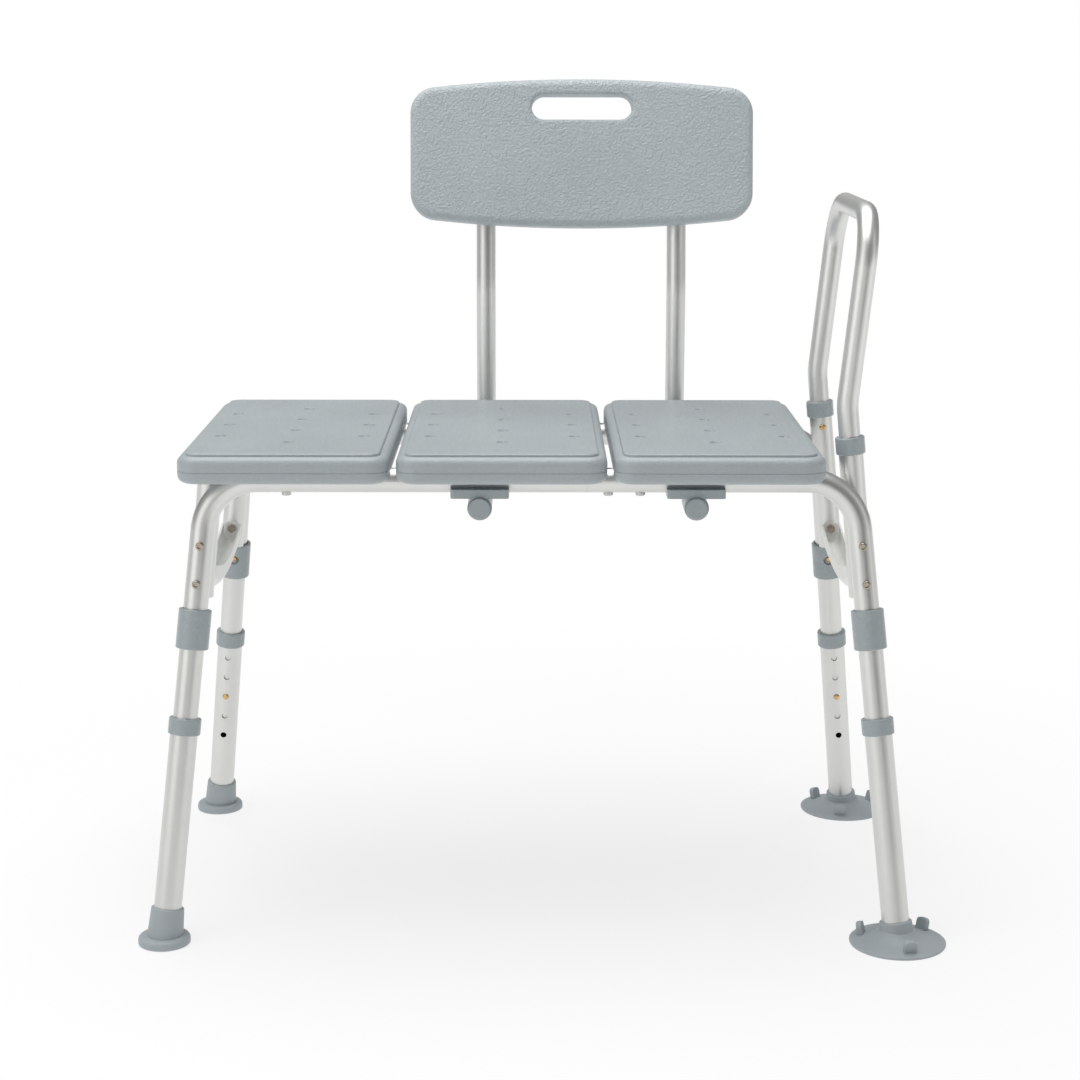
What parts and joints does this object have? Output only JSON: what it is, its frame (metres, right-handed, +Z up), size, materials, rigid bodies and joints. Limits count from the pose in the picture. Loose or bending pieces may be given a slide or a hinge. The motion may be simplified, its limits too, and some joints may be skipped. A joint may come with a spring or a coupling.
{
  "type": "bath transfer bench",
  "caption": "Bath transfer bench: aluminium tube frame, seat panels with drain holes, pull-out backrest, lift-off arm hoop and height-adjustable splayed legs.",
  "frame": {"origin": "on the floor, at the middle of the footprint", "axes": "+X across the bench towards the arm hoop, +Y from the front edge towards the backrest, +Z up"},
  "size_m": [0.841, 0.5348, 0.8781],
  "materials": {
    "tube_aluminium": "satin anodised, brushed",
    "seat_plastic": "fine moulded grain",
    "back_plastic": "leather-like moulded grain",
    "fitting_plastic": "smooth moulded",
    "foot_rubber": "smooth, soft",
    "button_brass": "polished",
    "screw_metal": "dark passivated",
    "bolt_metal": "zinc plated"
  },
  "bodies": {
    "frame": {"rail_front_left": "tube_aluminium", "leg_tube_front_left": "tube_aluminium", "leg_clamp_front_left": "fitting_plastic", "rail_rear_left": "tube_aluminium", "leg_tube_rear_left": "tube_aluminium", "leg_clamp_rear_left": "fitting_plastic", "rail_front_right": "tube_aluminium", "leg_tube_front_right": "tube_aluminium", "leg_clamp_front_right": "fitting_plastic", "rail_rear_right": "tube_aluminium", "leg_tube_rear_right": "tube_aluminium", "leg_clamp_rear_right": "fitting_plastic", "side_post_front": "tube_aluminium", "arm_socket_front": "tube_aluminium", "arm_collar_front": "fitting_plastic", "back_bracket_front_left": "fitting_plastic", "back_bracket_front_right": "fitting_plastic", "side_post_rear": "tube_aluminium", "arm_socket_rear": "tube_aluminium", "arm_collar_rear": "fitting_plastic", "back_bracket_rear_left": "fitting_plastic", "back_bracket_rear_right": "fitting_plastic", "side_brace_left": "tube_aluminium", "side_brace_right": "tube_aluminium", "seat_panel_left": "seat_plastic", "seat_panel_middle": "seat_plastic", "seat_panel_right": "seat_plastic", "rail_sleeves": "tube_aluminium", "rail_bolts": "bolt_metal", "post_screws": "screw_metal", "post_spacers": "fitting_plastic"},
    "leg_front_left": {"leg_extension_front_left": "tube_aluminium", "extension_collar_front_left": "fitting_plastic", "rubber_tip_front": "foot_rubber"},
    "clamp_button_front_left": {"clamp_button_front_left": "button_brass"},
    "height_button_front_left": {"height_button_front_left": "button_brass"},
    "leg_rear_left": {"leg_extension_rear_left": "tube_aluminium", "extension_collar_rear_left": "fitting_plastic", "rubber_tip_rear": "foot_rubber"},
    "clamp_button_rear_left": {"clamp_button_rear_left": "button_brass"},
    "height_button_rear_left": {"height_button_rear_left": "button_brass"},
    "leg_front_right": {"leg_extension_front_right": "tube_aluminium", "extension_collar_front_right": "fitting_plastic", "suction_foot_front": "foot_rubber"},
    "clamp_button_front_right": {"clamp_button_front_right": "button_brass"},
    "height_button_front_right": {"height_button_front_right": "button_brass"},
    "leg_rear_right": {"leg_extension_rear_right": "tube_aluminium", "extension_collar_rear_right": "fitting_plastic", "suction_foot_rear": "foot_rubber"},
    "clamp_button_rear_right": {"clamp_button_rear_right": "button_brass"},
    "height_button_rear_right": {"height_button_rear_right": "button_brass"},
    "arm_button_front": {"arm_button_front": "button_brass"},
    "arm_button_rear": {"arm_button_rear": "button_brass"},
    "backrest": {"back_tube_left": "tube_aluminium", "back_tube_right": "tube_aluminium", "back_panel": "back_plastic", "back_screws": "bolt_metal", "back_tube_plugs": "fitting_plastic"},
    "arm": {"arm_hoop": "tube_aluminium"}
  },
  "joints": [
    {"name": "leg_height_front_left", "type": "slide", "parent": "frame", "child": "leg_front_left", "axis": [-0.1, -0.1454, -0.9843], "range_m": [-0.0508, 0.0508], "deforming": ["height_button_front_left"]},
    {"name": "clamp_button_press_front_left", "type": "slide", "parent": "frame", "child": "clamp_button_front_left", "axis": [0.0147, -0.9894, 0.1446], "range_m": [0, 0.0038], "stiffness_N_per_m": 900, "springref_m": -0.003},
    {"name": "height_button_press_front_left", "type": "slide", "parent": "frame", "child": "height_button_front_left", "axis": [0.0147, -0.9894, 0.1446], "range_m": [0, 0.0038], "stiffness_N_per_m": 900, "springref_m": -0.003},
    {"name": "leg_height_rear_left", "type": "slide", "parent": "frame", "child": "leg_rear_left", "axis": [-0.1, 0.1454, -0.9843], "range_m": [-0.0508, 0.0508], "deforming": ["height_button_rear_left"]},
    {"name": "clamp_button_press_rear_left", "type": "slide", "parent": "frame", "child": "clamp_button_rear_left", "axis": [0.0147, 0.9894, 0.1446], "range_m": [0, 0.0038], "stiffness_N_per_m": 900, "springref_m": -0.003},
    {"name": "height_button_press_rear_left", "type": "slide", "parent": "frame", "child": "height_button_rear_left", "axis": [0.0147, 0.9894, 0.1446], "range_m": [0, 0.0038], "stiffness_N_per_m": 900, "springref_m": -0.003},
    {"name": "leg_height_front_right", "type": "slide", "parent": "frame", "child": "leg_front_right", "axis": [0.1, -0.1454, -0.9843], "range_m": [-0.0508, 0.0508], "deforming": ["height_button_front_right"]},
    {"name": "clamp_button_press_front_right", "type": "slide", "parent": "frame", "child": "clamp_button_front_right", "axis": [-0.0147, -0.9894, 0.1446], "range_m": [0, 0.0038], "stiffness_N_per_m": 900, "springref_m": -0.003},
    {"name": "height_button_press_front_right", "type": "slide", "parent": "frame", "child": "height_button_front_right", "axis": [-0.0147, -0.9894, 0.1446], "range_m": [0, 0.0038], "stiffness_N_per_m": 900, "springref_m": -0.003},
    {"name": "leg_height_rear_right", "type": "slide", "parent": "frame", "child": "leg_rear_right", "axis": [0.1, 0.1454, -0.9843], "range_m": [-0.0508, 0.0508], "deforming": ["height_button_rear_right"]},
    {"name": "clamp_button_press_rear_right", "type": "slide", "parent": "frame", "child": "clamp_button_rear_right", "axis": [-0.0147, 0.9894, 0.1446], "range_m": [0, 0.0038], "stiffness_N_per_m": 900, "springref_m": -0.003},
    {"name": "height_button_press_rear_right", "type": "slide", "parent": "frame", "child": "height_button_rear_right", "axis": [-0.0147, 0.9894, 0.1446], "range_m": [0, 0.0038], "stiffness_N_per_m": 900, "springref_m": -0.003},
    {"name": "backrest_slide", "type": "slide", "parent": "frame", "child": "backrest", "axis": [0, 1, 0], "range_m": [0, 0.3]},
    {"name": "arm_lift", "type": "slide", "parent": "frame", "child": "arm", "axis": [-0.1011, 0, 0.9949], "range_m": [0, 0.09], "deforming": ["arm_button_front", "arm_button_rear"]},
    {"name": "arm_button_press_front", "type": "slide", "parent": "arm", "child": "arm_button_front", "axis": [0, -1, 0], "range_m": [0, 0.0038], "stiffness_N_per_m": 900, "springref_m": -0.003},
    {"name": "arm_button_press_rear", "type": "slide", "parent": "arm", "child": "arm_button_rear", "axis": [0, 1, 0], "range_m": [0, 0.0038], "stiffness_N_per_m": 900, "springref_m": -0.003}
  ]
}
